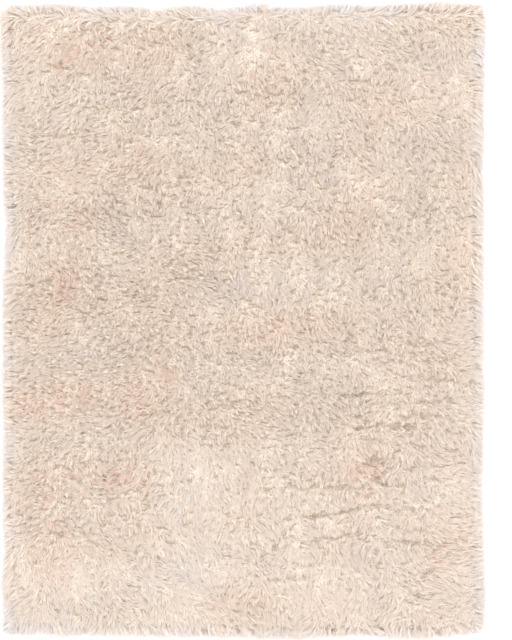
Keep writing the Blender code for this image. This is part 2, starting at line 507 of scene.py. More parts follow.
def shade_of(points, outline, rng):
    """Where each end's yarn is on the row of shades, from 0, cool, to 1, peach.

    The listed tints add up as bell curves, and the rim is cooler and greyer by another, as painted
    shade at the rug's edge. Wide ripples and a little chance for each end move them on.
    """
    # Painted shade at the rim.
    rim = np.exp(-((edge_distance(points, outline) / RIM_SHADE_WIDTH) ** 2))
    shade = MIDDLE_SHADE - RIM_SHADE * rim + rippled(points, SHADE_RIPPLES)
    patchy = 1 + rippled(points, TINT_RIPPLES)
    for tint in TINTS:
        away = (points - (tint.x, tint.y)) / tint.reach
        shade += tint.shift * np.exp(-(away**2).sum(axis=1)) * patchy
    return np.clip(shade + rng.normal(0, SHADE_STRAY, len(points)), *SHADE_LIMITS)


# ---------------------------------------------------------------------------------------------
# Where the pile breaks off

Line = namedtuple("Line", "middle along half_length gap")
Breaks = namedtuple("Breaks", "low columns lines")


def parting_lines():
    """The lines of the listed partings."""
    lines = []
    for parting in PARTINGS:
        along = np.array((1.0, parting.slope)) / math.hypot(1.0, parting.slope)
        lines.append(Line(np.array((parting.x, parting.y)), along, parting.half_length, parting.gap))
    return lines


def short_breaks(outline):
    """The short lines along which the locks come apart, one to each cell of a square grid.

    The locks come apart between the rows of tufts, which run across the rug. A break's middle falls
    by chance along its row, and the rows waver in soft ripples. It is left out, with no length, by
    chance, more where the pile lies smooth, and near the outline. The grid goes past the outline,
    so that all ends have cells around.
    """
    least, most = outline.min(axis=0), outline.max(axis=0)
    low = least - (BREAK_REACH + 1) * BREAK_CELL
    high = most + (BREAK_REACH + 1) * BREAK_CELL
    columns, rows = np.ceil((high - low) / BREAK_CELL).astype(int)
    cells = np.stack(np.meshgrid(np.arange(columns), np.arange(rows)), axis=-1).reshape(-1, 2)
    count = len(cells)
    rng = np.random.default_rng(71)
    middle = low + (cells + rng.uniform(*BREAK_PLACE, cells.shape)) * BREAK_CELL
    middle[:, 1] += rippled(middle, BREAK_ROW_RIPPLES)
    turn = rng.normal(0, BREAK_TURN, count) + rippled(middle, BREAK_TURN_RIPPLES)
    along = np.column_stack((np.cos(turn), np.sin(turn)))
    chance = BREAK_CHANCE + BREAK_CHANCE_UPRIGHT * tufts_at(middle, outline).stand
    kept = rng.uniform(0, 1, count) < chance
    kept &= np.all((middle > least + BREAK_MARGIN) & (middle < most - BREAK_MARGIN), axis=1)
    half = np.where(kept, rng.uniform(*BREAK_HALF, count), 0.0)
    return Breaks(low, columns, Line(middle, along, half, rng.uniform(*BREAK_GAP, count)))


def waver_share(half_length):
    """How much of the partings' wavering a line of this half length takes: a short one less."""
    return np.minimum(1.0, half_length / WAVERS_FULLY)


def cut(root, reach, share, line, wander):
    """The roots moved out of a line's gap, and the share of its reach each end keeps at the line.

    A line splits the plane. A root ahead of it, the way its end points, is moved on by the gap
    times an exponential of its distance, so that the gap is bare. An end that starts behind the
    line and would cross it, or nearly so, keeps the share of its reach that ends at the line.
    """
    at = root - line.middle
    across = at[:, 0] * line.along[..., 0] + at[:, 1] * line.along[..., 1]
    off = at[:, 1] * line.along[..., 0] - at[:, 0] * line.along[..., 1]
    off = off + wander * waver_share(line.half_length)
    going = reach[:, 0] * line.along[..., 0] + reach[:, 1] * line.along[..., 1]
    step = reach[:, 1] * line.along[..., 0] - reach[:, 0] * line.along[..., 1]
    side, length = np.sign(step), np.abs(step) + 1e-9
    ahead = off * side
    meets = across - going * ahead / length
    crosses = (np.abs(meets) < line.half_length) & (ahead < 0) & (ahead + length > -NEARLY_CROSSES)
    share = np.where(crosses, np.minimum(share, -ahead / length), share)
    past = (np.abs(across) < line.half_length) & (ahead >= 0) & (ahead < PUSH_REACH)
    push = np.where(past, line.gap * np.exp(-ahead / PUSH_FADE), 0.0) * side
    normal = np.stack((-line.along[..., 1], line.along[..., 0]), axis=-1)
    return root + push[:, None] * normal, share


def broken(root, reach, lines, breaks):
    """The roots moved out of the gaps of all lines, and the share of its reach each end keeps.

    Each end meets the listed partings, and then the short breaks of the cells around its own.
    """
    share = np.ones(len(root))
    wander = rippled(root, PARTING_RIPPLES)
    for line in lines:
        root, share = cut(root, reach, share, line, wander)
    cell = np.floor((root - breaks.low) / BREAK_CELL).astype(int)
    steps = range(-BREAK_REACH, BREAK_REACH + 1)
    for across, along in itertools.product(steps, steps):
        number = cell[:, 0] + across + (cell[:, 1] + along) * breaks.columns
        each = Line(*(values[number] for values in breaks.lines))
        root, share = cut(root, reach, share, each, wander)
    return root, np.clip(share, LEAST_SHARE, 1.0)


def how_parted(points):
    """How deep in a listed parting each point is, from 0 to 1.

    It is a bell curve of the distance to the line over the parting's width, which fades towards the
    line's ends by the sixth power.
    """
    wander = rippled(points, PARTING_RIPPLES)
    deep = np.zeros(len(points))
    for parting in PARTINGS:
        if parting.y > PARTED_TO:
            continue
        x, y = points[:, 0] - parting.x, points[:, 1] - parting.y
        wavers = wander * waver_share(parting.half_length)
        off_line = (y - parting.slope * x + wavers) / PARTING_WIDTH
        fade = np.exp(-((x / parting.half_length) ** 6))
        deep = np.maximum(deep, fade * parting.gap / BROADEST_GAP * np.exp(-(off_line**2)))
    return deep


# ---------------------------------------------------------------------------------------------
# Tufts and their yarn ends

# The section of an end: across it, and up from its middle line, as shares of its width.
SECTION = np.array(((0.5, -0.03), (0.0, 0.12), (-0.5, -0.03)))
MAP_WIDTH = 1.8  # how much of the yarn's map a metre across an end takes
# What a tuft is made of: where along each strand its rings are and how wide it is there, how far
# under the under-pile's top it starts, and how much lower than an end it lies at its tip.
Strand = namedtuple("Strand", "rings ring_widths root_depth tip_depth")
END = Strand(np.array((0.45,)), np.array((1.0,)), 0.0027, 0.0)
WISP = Strand(np.array((0.36, 0.74)), np.array((1.0, 0.85)), 0.005, 0.0015)
# An end's elevation, in degrees, where it comes out of the under-pile and at its tip: for pile
# pressed flat, and how much more for upright pile.
STEEP, STEEP_UPRIGHT = 24, 50
LYING, LYING_UPRIGHT = -6, 56
UNEVEN, UNEVEN_UPRIGHT = 0.05, 0.10  # how far an end strays from both, in radians
LEAST_CURVE = 0.2  # radians between the two at least
UPRIGHT_DARKER = 0.25  # how much less of an end is in the light in upright pile
FLAT_LIGHTER = 0.11  # and how much more of its root in pile pressed flat
EDGE_LIGHTER = 0.50  # and at the rug's edge
UPRIGHT_SHORTER = 0.22  # by what share of the pile's length upright pile looks shorter
DROOP = 66  # how far below level an end points at the rug's very edge
DROOP_FROM, DROOP_OVER = 0.075, 0.050  # how far in an end starts to droop, and over what width
TUFT_TURN, END_TURN = 0.12, 0.12  # radians that a tuft, and each of its ends, turns by chance
TURN_FLAT, TURN_UPRIGHT = 0.45, 1.1  # what part of that in flat pile, and how much more upright
TUFT_LENGTH, END_LENGTH = 0.05, (0.8, 1.1)  # how far a tuft's length strays, and each end's share
END_WIDTH = (0.75, 1.25)
END_BOW = 0.0028
PAST_OUTLINE = (0.0024, 0.0006)  # how far over the outline an end may reach, and its straying
LEAST_OUTWARD = 0.05  # the least that an end is taken to point to the outline
SHORTEST = 0.35  # the share of its length that the outline leaves at least
RISE, RISE_UPRIGHT = 0.0003, 0.0021  # how far a tip strays up and down
LOWEST = 0.0012  # of an end's middle line, over the floor
LEAST_HEIGHT = 0.0003  # of any point of the pile, over the floor
HIGHEST_OVER = 0.006  # how far an end's middle line may stand over the rug's solid
ROLL_ABOUT = 0.08  # radians that an end is rolled about its line by chance, and twice that upright

# A row is a dark strand of painted shade laid in a break, where the gap between the locks is shaded.
ROW_OVER = 0.0026  # how much wider than its gap the dark row in a break is
ROW_HALF = 0.012  # at most half the length of one strand in a longer row
ROW_OVERLAP = 1.2  # how much longer than its part of the row a strand is
ROW_HEIGHT = 0.0024  # of its middle line, over the under-pile
ROW_BOW, ROW_DIP = 0.0010, 0.0015  # to the foot in its middle, and down at its ends
ROW_LIT = (0.02, 0.08)


def arc(length, steep, lying, share):
    """How far along and how high a yarn is at a share of its length.

    Its elevation changes evenly from steep at the root to lying at the tip, so it is an arc of a
    circle: along is the length times the difference of the sines over that of the angles, and
    height is the length times the difference of the cosines over that of the angles.
    """
    there = steep + (lying - steep) * share
    per_turn = length / (lying - steep)
    return per_turn * (np.sin(there) - np.sin(steep)), per_turn * (np.cos(steep) - np.cos(there))


Stance = namedtuple("Stance", "stand steep lying lit_root lit_tip")


def stance_of(stand, edge, rng):
    """How each end stands: its elevations, and how much its root and its tip are in the light.

    Both elevations go up evenly with the end's stand, and stray by chance. Near the rug's edge the
    tip's goes over to the droop, and the root's to that of upright pile.
    """
    uneven = UNEVEN + UNEVEN_UPRIGHT * stand
    lying = np.radians(LYING + LYING_UPRIGHT * stand) + uneven * rng.normal(0, 1, len(stand))
    droop = np.clip((DROOP_FROM - edge) / DROOP_OVER, 0, 1)
    lying = lying * (1 - droop) - math.radians(DROOP) * droop
    lit_root = EDGE_LIGHTER * droop + FLAT_LIGHTER * (1 - stand) ** 2 * (1 - droop)
    lit_tip = 1 - UPRIGHT_DARKER * stand * (1 - droop)
    stand = np.maximum(stand, droop)
    steep = np.radians(STEEP + STEEP_UPRIGHT * stand) + uneven * rng.normal(0, 1, len(stand))
    return Stance(stand, np.maximum(steep, lying + LEAST_CURVE), lying, lit_root, lit_tip)


def fitted(length, stance, edge, outward, rng):
    """The lengths, changed so that the ends near the outline reach a little over it.

    The room that an end has is its distance to the outline over the share of its direction that
    points there. Its length is multiplied by the room over its reach. Past the border it is never
    made longer.
    """
    reach, _ = arc(length, stance.steep, stance.lying, 1.0)
    room = (edge + rng.normal(*PAST_OUTLINE, len(edge))) / np.maximum(outward, LEAST_OUTWARD) / reach
    stretch = np.where(edge < BORDER_DEPTH, BORDER_STRETCH, 1.0)
    return length * np.clip(room, SHORTEST, stretch)


def strands_of(tufts, strand, number, width, rug, rng):
    """So many strands of each tuft: the centres of their rings, with their side, width and light.

    Each strand is the tuft's arc with its own length, heading and bow. It is moved from its own
    root in the under-pile to its own place near the tuft's tip, by a power of the share along it.
    Near the rug's edge it droops, and is as long as reaches the outline. Partings break it off.
    """
    pile = rug.pile
    count = number * len(tufts.roots)
    around = turned(np.tile((1.0, 0.0), (count, 1)), rng.uniform(0, 2 * math.pi, count))
    spread = pile.tuft_radius * np.sqrt(rng.uniform(0, 1, count))[:, None] * around
    root = np.repeat(tufts.roots, number, axis=0) + spread
    stand = np.repeat(tufts.stand, number)
    turn = np.repeat(rng.normal(0, TUFT_TURN, len(tufts.roots)), number)
    turn = (turn + rng.normal(0, END_TURN, count)) * (TURN_FLAT + TURN_UPRIGHT * stand)
    direction = turned(np.repeat(tufts.direction, number, axis=0), turn)
    edge = edge_distance(root, rug.outline)

    length = np.repeat(rng.normal(1, TUFT_LENGTH, len(tufts.roots)), number)
    length = length * rng.uniform(*END_LENGTH, count) * (pile.length * (1 - UPRIGHT_SHORTER * stand))
    stance = stance_of(stand, edge, rng)
    outward = (direction * np.repeat(tufts.outward, number, axis=0)).sum(axis=1)
    length = fitted(length, stance, edge, outward, rng)
    reach, _ = arc(length, stance.steep, stance.lying, 1.0)
    root, kept = broken(root, reach[:, None] * direction, rug.partings, rug.breaks)
    length = length * kept

    share = np.array((0.0, *strand.rings, 1.0))
    along, height = arc(length[:, None], stance.steep[:, None], stance.lying[:, None], share)
    side = np.column_stack((-direction[:, 1], direction[:, 0]))
    bow = rng.normal(0, END_BOW, count)[:, None] * share**2
    drawn = (pile.tip_radius / pile.tuft_radius - 1) * share**1.5
    flat = root[:, None] + drawn[:, None] * spread[:, None]
    flat = flat + along[..., None] * direction[:, None] + bow[..., None] * side[:, None]
    start = crowd_top(edge - rug.cloth.margin, rug) - strand.root_depth
    rise = start[:, None] + height - strand.tip_depth * share
    stray = (RISE + RISE_UPRIGHT * stance.stand) * rng.normal(0, 1, count)
    rise = np.clip(rise + stray[:, None] * share, LOWEST, FRAME_HIGH[2] + HIGHEST_OVER)
    width = width * rng.uniform(*END_WIDTH, count)
    lit_tip = stance.lit_root + kept * (stance.lit_tip - stance.lit_root)
    lit = np.stack((stance.lit_root, lit_tip), axis=-1)
    return np.concatenate((flat, rise[..., None]), axis=-1), side, width, lit


def crowd_top(inside, rug):
    """How high the under-pile is, this far inside the ground cloth's edge.

    Its rim is a quarter of an ellipse, as wide as the cloth's corners are round.
    """
    share = np.clip(inside / rug.cloth.corner, 0, 1)
    return rug.cloth.thickness + rug.pile.crowd_height * np.sqrt(1 - (1 - share) ** 2)


# Where on a strand a point is. The edges along its left and right are where its rounded upper side
# meets its flat underside, and are kept sharp.
POINT, LEFT, TOP, RIGHT = range(4)
SHARP = np.zeros((4, 4), bool)
SHARP[(POINT, LEFT, LEFT, POINT, RIGHT, RIGHT), (LEFT, POINT, LEFT, RIGHT, POINT, RIGHT)] = True

Surface = namedtuple("Surface", "points corners sizes uv sides")


def strand_faces(rings):
    """The corners and the sizes of a strand's faces.

    A strand's points are its root, three for each ring, and its tip. Triangles close both ends, and
    squares join each ring to the next.
    """
    thirds = np.arange(3)
    after = (thirds + 1) % 3
    first, last = np.zeros(3, int), np.full(3, 1 + 3 * rings)
    faces = [np.column_stack((first, 1 + after, 1 + thirds)).ravel()]
    for low in range(1, 3 * rings - 2, 3):
        stem = (low + thirds, low + after, low + 3 + after, low + 3 + thirds)
        faces.append(np.column_stack(stem).ravel())
    top = 3 * rings - 2
    faces.append(np.column_stack((top + thirds, top + after, last)).ravel())
    return np.concatenate(faces), np.array([3] * 3 + [4] * 3 * (rings - 1) + [3] * 3)


def strand_surface(strand, centres, side, width, shade, lit, roll):
    """The surface of like strands: each is a closed spindle, from a point through rings to a point.

    A ring is the section laid across the strand: its first axis is the strand's side, rolled about
    the strand, and its second is at right angles to that and to the strand's line. On the yarn's
    map a strand lies along v, from how lit its root is to how lit its tip is, and its rings lie
    across it.
    """
    count, rings = len(centres), len(strand.rings)
    line = unit(centres[:, 2:] - centres[:, :-2])
    across = np.concatenate((side, np.zeros((count, 1))), axis=1)[:, None] * np.ones((1, rings, 1))
    up = unit(np.cross(line, across))
    across = np.cross(up, line)
    cosine, sine = np.cos(roll)[:, None, None], np.sin(roll)[:, None, None]
    first, second = cosine * across + sine * up, cosine * up - sine * across
    scale = width[:, None, None, None] * strand.ring_widths[None, :, None, None]
    round_it = centres[:, 1:-1, None] + scale * (
        SECTION[:, 0, None] * first[:, :, None] + SECTION[:, 1, None] * second[:, :, None]
    )
    round_it = round_it.reshape(count, 3 * rings, 3)
    points = np.concatenate((centres[:, :1], round_it, centres[:, -1:]), axis=1)
    points[..., 2] = np.maximum(points[..., 2], LEAST_HEIGHT)

    corners, sizes = strand_faces(rings)
    ring_u = np.concatenate(([0.5], np.tile((0.0, 0.5, 1.0), rings), [0.5]))
    ring_v = np.concatenate(([0.0], np.repeat(strand.rings, 3), [1.0]))
    uv = np.empty((count, len(corners), 2))
    uv[..., 0] = shade[:, None] + MAP_WIDTH * width[:, None] * ring_u[corners]
    uv[..., 1] = lit[:, :1] + (lit[:, 1:] - lit[:, :1]) * ring_v[corners]
    sides = np.concatenate(([POINT], np.tile((LEFT, TOP, RIGHT), rings), [POINT]))
    numbers = (corners[None, :] + len(sides) * np.arange(count)[:, None]).ravel()
    sizes, sides = np.tile(sizes, count), np.tile(sides, count)
    return Surface(points.reshape(-1, 3), numbers, sizes, uv.reshape(-1, 2), sides)


def yarn_mesh(name, surfaces):
    """One mesh of several surfaces, each numbered on from the one before."""
    points, corners, sizes, uv, sides = (np.concatenate(column) for column in zip(*surfaces))
    firsts = np.cumsum([0] + [len(surface.points) for surface in surfaces[:-1]])
    corners += np.repeat(firsts, [len(surface.corners) for surface in surfaces])

    mesh = bpy.data.meshes.new(name)
    mesh.vertices.add(len(points))
    mesh.vertices.foreach_set("co", points.astype(np.float32).ravel())
    mesh.loops.add(len(corners))
    mesh.loops.foreach_set("vertex_index", corners.astype(np.int32))
    mesh.polygons.add(len(sizes))
    starts = np.concatenate(([0], np.cumsum(sizes)[:-1]))
    mesh.polygons.foreach_set("loop_start", starts.astype(np.int32))
    mesh.update(calc_edges=True)
    layer = mesh.uv_layers.new(name=YARN_MAP)
    layer.data.foreach_set("uv", uv.astype(np.float32).ravel())
    mesh.shade_smooth()
    pairs = np.empty(2 * len(mesh.edges), np.int32)
    mesh.edges.foreach_get("vertices", pairs)
    first, second = sides[pairs].reshape(-1, 2).T
    sharp = mesh.attributes.new("sharp_edge", "BOOLEAN", "EDGE")
    sharp.data.foreach_set("value", SHARP[first, second])
    return mesh


def shade_rows(rug):
    """The surface of dark strands of painted shade down in the short breaks: one strand to each break.

    It lies along the break, a little over the under-pile, and is as wide as the break's gap and
    ROW_OVER more, so that it goes under the ends on both sides. A listed parting that the
    under-pile has no groove for is a row of such strands.
    """
    kept = rug.breaks.lines.half_length > 0
    rows = [values[kept] for values in rug.breaks.lines]
    for line in rug.partings:
        if line.middle[1] > PARTED_TO:
            count = math.ceil(line.half_length / ROW_HALF)
            place = (2 * np.arange(count) + 1 - count)[:, None] * line.half_length / count
            middle = line.middle + place * line.along
            wander = rippled(middle, PARTING_RIPPLES) * waver_share(line.half_length)
            middle -= wander[:, None] * (-line.along[1], line.along[0])
            half, gap = ROW_HALF * ROW_OVERLAP, line.gap
            row = (middle, np.tile(line.along, (count, 1)), np.full(count, half), np.full(count, gap))
            rows = [np.concatenate(pair) for pair in zip(rows, row)]
    middle, along, half, gap = rows
    count = len(middle)
    place = np.array((-1.0, 2 * END.rings[0] - 1, 1.0))
    flat = middle[:, None] + place[:, None] * (half[:, None] * along)[:, None]
    flat[..., 1] -= ROW_BOW * (1 - place**2)
    inside = edge_distance(middle, rug.outline) - rug.cloth.margin
    height = (crowd_top(inside, rug) + ROW_HEIGHT)[:, None] - ROW_DIP * place**2
    side = np.column_stack((along[:, 1], -along[:, 0]))
    shade = shade_of(middle, rug.outline, np.random.default_rng(74))
    lit = np.tile(ROW_LIT, (count, 1))
    centres = np.concatenate((flat, height[..., None]), axis=-1)
    return strand_surface(END, centres, side, gap + ROW_OVER, shade, lit, np.zeros(count))


# ---------------------------------------------------------------------------------------------
# Materials

SHADES = (
    # the coolest, greyest stop is mostly reached at the rim, as its painted shade
    (0.00, (0.88, 0.835, 0.835, 1.0)),  # cool, greyed cream
    (0.30, (0.915, 0.824, 0.750, 1.0)),
    (0.50, (0.945, 0.832, 0.738, 1.0)),  # cream
    (0.68, (0.95, 0.780, 0.672, 1.0)),
    (1.00, (0.94, 0.695, 0.592, 1.0)),  # peach
)
WHITE = (1.0, 1.0, 1.0, 1.0)
# Painted shade on the yarn: darkest at its root down in the pile, less further out, up to where it is
# in full light.
ROOT_SHADE_STOPS = (
    (0.14, (0.73, 0.64, 0.54, 1.0)),
    (0.27, (0.90, 0.86, 0.81, 1.0)),
    (0.50, (0.965, 0.95, 0.935, 1.0)),
    (0.85, WHITE),
)
FIBRES = ((0.34, (0.88, 0.87, 0.85, 1.0)), (0.60, WHITE))  # what is left between the yarn's fibres
FIBRE_PITCH = 0.0015  # from one strand of fibres in the yarn to the next
FIBRES_ALONG = 5.0  # how many times they change along an end
# Painted shade: dark specks of under-pile between the ends, and darker still in the partings.
SPECK_SHADE = (0.62, 0.58, 0.54)  # what the specks between the ends leave of the under-pile's colour
PARTING_SHADE = (0.58, 0.52, 0.46, 1.0)  # and what a parting leaves
CROWD_SCALE = 200.0  # of the specks
WEAVE_DARK = 0.72  # what is left of the ground cloth's colour between its yarns
WEAVE_SCALE = 80.0
PARTED = "parted"  # the under-pile's attribute for where the partings are


def new_material(name, **shading):
    """A material with only its shader, set by its inputs' names, and its output."""
    material = bpy.data.materials.new(name)
    material.use_nodes = True
    tree = material.node_tree
    shader = tree.nodes["Principled BSDF"]
    for words, value in shading.items():
        shader.inputs[words.replace("_", " ")].default_value = value
    return material, tree, shader


def feed(tree, node, **inputs):
    """Join each input to another node's output, or set it to a value."""
    for name, value in inputs.items():
        if isinstance(value, bpy.types.NodeSocket):
            tree.links.new(value, node.inputs[name])
        else:
            node.inputs[name].default_value = value


def add_node(tree, kind, **inputs):
    """A node of this kind with these inputs."""
    node = tree.nodes.new(kind)
    feed(tree, node, **inputs)
    return node


def ramp(tree, amount, stops):
    """The colour that an amount has on a ramp with these stops, each a place and a colour."""
    node = add_node(tree, "ShaderNodeValToRGB", Fac=amount)
    elements = node.color_ramp.elements
    for element, (place, colour) in zip(elements, (stops[0], stops[-1])):
        element.position = place
        element.color = colour
    for place, colour in stops[1:-1]:
        elements.new(place).color = colour
    return node.outputs["Color"]


def multiplied(tree, first, second, share=1.0):
    """The product of two colours, or so much of it."""
    node = tree.nodes.new("ShaderNodeMix")
    node.data_type = "RGBA"
    node.blend_type = "MULTIPLY"
    feed(tree, node, Factor=share, A=first, B=second)
    return node.outputs["Result"]


def finish_shader(tree, shader, colour, height, strength, distance):
    """Give the shader its colour, and bumps by a height."""
    bump = add_node(tree, "ShaderNodeBump", Strength=strength, Distance=distance, Height=height)
    tree.links.new(bump.outputs["Normal"], shader.inputs["Normal"])
    tree.links.new(colour, shader.inputs["Base Color"])


def yarn_material(pile):
    """Soft yarn: its shade along u, painted shade darker to its root along v, and fine fibres along it.
    """
    known = bpy.data.materials.get("cream_yarn")
    if known:
        return known
    material, tree, shader = new_material(
        "cream_yarn", Roughness=0.78, Specular_IOR_Level=0.25, Sheen_Weight=0.5, Sheen_Roughness=0.7
    )
    place = tree.nodes.new("ShaderNodeUVMap")
    place.uv_map = YARN_MAP
    split = add_node(tree, "ShaderNodeSeparateXYZ", Vector=place.outputs["UV"])
    shade = ramp(tree, split.outputs["X"], SHADES)
    # Painted shade, darker towards each end's root.
    depth = ramp(tree, split.outputs["Y"], ((0.0, tuple(pile.root_shade_colour)), *ROOT_SHADE_STOPS))
    scale = (1 / (MAP_WIDTH * FIBRE_PITCH), FIBRES_ALONG, 1.0)
    stretch = add_node(tree, "ShaderNodeMapping", Vector=place.outputs["UV"], Scale=scale)
    fibres = add_node(
        tree, "ShaderNodeTexNoise", Vector=stretch.outputs["Vector"], Scale=1.0, Detail=2.0
    )
    fibres.noise_dimensions = "2D"
    streak = ramp(tree, fibres.outputs["Fac"], FIBRES)
    streaked = multiplied(tree, multiplied(tree, shade, depth), streak)
    finish_shader(tree, shader, streaked, fibres.outputs["Fac"], strength=0.5, distance=0.0008)

    through = add_node(tree, "ShaderNodeBsdfTranslucent", Color=streaked)
    mixed = add_node(tree, "ShaderNodeMixShader", Fac=pile.translucence)
    tree.links.new(shader.outputs["BSDF"], mixed.inputs[1])
    tree.links.new(through.outputs["BSDF"], mixed.inputs[2])
    tree.links.new(mixed.outputs["Shader"], tree.nodes["Material Output"].inputs["Surface"])
    return material


def crowd_material(name, colour):
    """The crowded yarn under the pile: painted shade specked between its ends, and darker painted shade
    where a parting is.
    """
    material, tree, shader = new_material(name, Roughness=0.9, Specular_IOR_Level=0.2)
    place = tree.nodes.new("ShaderNodeTexCoord")
    ends = add_node(
        tree, "ShaderNodeTexNoise", Vector=place.outputs["Object"], Scale=CROWD_SCALE, Detail=2.0
    )
    # Painted shade: the specks between the ends are the under-pile's colour darkened.
    dark = (*(np.array(colour[:3]) * SPECK_SHADE), 1.0)
    tone = ramp(tree, ends.outputs["Fac"], ((0.36, dark), (0.50, tuple(colour))))
    parted = tree.nodes.new("ShaderNodeAttribute")
    parted.attribute_name = PARTED
    # Painted shade, darker where a parting is.
    shadowed = multiplied(tree, tone, PARTING_SHADE, parted.outputs["Fac"])
    finish_shader(tree, shader, shadowed, ends.outputs["Fac"], strength=0.8, distance=0.003)
    return material


def cloth_material(colour):
    """Coarse plain weave: warp and weft bumps, with the yarn's colour a little uneven."""
    material, tree, shader = new_material("tan_ground_weave", Roughness=0.9)
    place = tree.nodes.new("ShaderNodeTexCoord")
    weave = tree.nodes.new("ShaderNodeMath")
    weave.operation = "MAXIMUM"
    for number, direction in enumerate(("X", "Y")):
        wave = add_node(
            tree, "ShaderNodeTexWave", Vector=place.outputs["Object"], Scale=WEAVE_SCALE, Distortion=1.0
        )
        wave.bands_direction = direction
        tree.links.new(wave.outputs["Fac"], weave.inputs[number])
    dark = (*(channel * WEAVE_DARK for channel in colour[:3]), 1.0)
    tone = ramp(tree, weave.outputs["Value"], ((0.0, dark), (1.0, tuple(colour))))
    finish_shader(tree, shader, tone, weave.outputs["Value"], strength=0.6, distance=0.001)
    return material


# ---------------------------------------------------------------------------------------------
# The pieces

# What all the pieces are made from: the panel's settings, the outline, the lines of the partings
# and the short breaks.
Rug = namedtuple("Rug", "pile cloth outline partings breaks")


def rug_of(scene):
    """The rug that the scene's settings describe."""
    outline = outline_points()
    return Rug(scene.rug_pile, scene.rug_cloth, outline, parting_lines(), short_breaks(outline))


def rug_piece(name, mesh, material):
    """The object of this mesh, which rides with the rug."""
    mesh.materials.append(material)
    piece = bpy.data.objects.new(name, mesh)
    bpy.context.scene.collection.objects.link(piece)
    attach(piece, "root")
    return piece


def yarn_piece(name, surfaces, pile):
    """The object of these surfaces of yarn."""
    triangles = sum(int((surface.sizes - 2).sum()) for surface in surfaces)
    if triangles > MOST_TRIANGLES:
        raise RuntimeError(f"{name} has {triangles} triangles: make the tuft spacing larger")
    return rug_piece(name, yarn_mesh(name, surfaces), yarn_material(pile))


def tufted_piece(name, roots, rug, seed):
    """The object of all the tufts at these roots: each a wisp and its ends."""
    rng = np.random.default_rng(seed)
    pile, tufts = rug.pile, tufts_at(roots, rug.outline)
    surfaces = []
    for strand, number, width in ((WISP, 1, pile.wisp_width), (END, pile.ends, pile.yarn_width)):
        centres, side, width, lit = strands_of(tufts, strand, number, width, rug, rng)
        shade = shade_of(np.repeat(roots, number, axis=0), rug.outline, rng)
        roll = rng.normal(0, ROLL_ABOUT, len(centres)) * (1 + np.repeat(tufts.stand, number))
        surfaces.append(strand_surface(strand, centres, side, width, shade, lit, roll))
    return yarn_piece(name, surfaces, pile)


def field_roots(rug, band):
    """The roots of one band of the field: a grid, each root moved by chance within its cell.

    Every other row is moved half a cell along. The rows of all the bands are one grid, so that no
    seam shows between two of them.
    """
    gap = rug.pile.tuft_gap
    low, high = rug.outline.min(axis=0), rug.outline.max(axis=0)
    columns, rows = np.ceil((high - low) / gap).astype(int)
    first, last = (rows * np.array((band, band + 1)) / len(FIELD_BANDS)).astype(int)
    across, along = np.meshgrid(np.arange(columns), np.arange(first, last))
    cell = np.stack((across + 0.5 * (along % 2), along), axis=-1).reshape(-1, 2)
    rng = np.random.default_rng(100 + band)
    roots = low + (cell + 0.5 + rng.uniform(-FIELD_JITTER, FIELD_JITTER, cell.shape)) * gap
    roots = roots[np.all((roots > low) & (roots < high), axis=1)]
    return roots[edge_distance(roots, rug.outline) > BORDER_DEPTH]


def border_roots(rug, inset, seed):
    """The roots of one row of the border, evenly spaced along the outline moved inwards.

    Each place along the outline is found from the running length of its sides. The row is the
    place plus the inset along the inward normal.
    """
    closed = np.vstack((rug.outline, rug.outline[:1]))
    run = np.concatenate(([0.0], np.cumsum(np.linalg.norm(np.diff(closed, axis=0), axis=1))))
    count = int(run[-1] / rug.pile.border_gap)
    rng = np.random.default_rng(seed)
    at = (np.arange(count) + rng.uniform(0, BORDER_STRAY, count)) * run[-1] / count
    normals = inward_normals(rug.outline)
    normals = np.vstack((normals, normals[:1]))
    place, inward = (
        np.column_stack([np.interp(at, run, values[:, axis]) for axis in (0, 1)])
        for values in (closed, normals)
    )
    inset_here = inset + rng.uniform(-BORDER_JITTER, BORDER_JITTER, count)
    roots = place + unit(inward) * inset_here[:, None]
    return roots[edge_distance(roots, rug.outline) > inset - 2 * BORDER_JITTER]


# The section through the crowded yarn under the border's ends: how far in from the outline, how
# high. It goes from the floor outside over the top to the floor inside.
ROLL = np.array(
    ((0.0040, 0.0006), (0.0052, 0.0034), (0.0120, 0.0070), (0.0300, 0.0120), (0.0310, 0.0006))
)


def roll_mesh(outline):
    """A closed low roll round the rug: the section carried along the outline's inward normals."""
    flat = outline[:, None] + ROLL[None, :, :1] * inward_normals(outline)[:, None]
    height = np.tile(ROLL[:, 1], (len(outline), 1))
    points = np.concatenate((flat, height[..., None]), axis=-1)
    number = np.arange(len(ROLL) * len(outline)).reshape(len(outline), len(ROLL))
    after, over = np.roll(number, -1, axis=0), np.roll(number, -1, axis=1)
    faces = np.stack((number, after, np.roll(after, -1, axis=1), over), axis=-1).reshape(-1, 4)
    mesh = bpy.data.meshes.new("pile_roll")
    mesh.from_pydata(points.reshape(-1, 3).tolist(), [], faces.tolist())
    mesh.shade_smooth()
    return mesh


def cloth_half(cloth):
    """Half the ground cloth's width and length."""
    return (FRAME_HIGH[:2] - FRAME_LOW[:2]) / 2 - cloth.margin


def even_lines(low, high, cell):
    """Evenly spaced grid lines from low to high, no further apart than the cell."""
    return np.linspace(low, high, math.ceil((high - low) / cell) + 1)


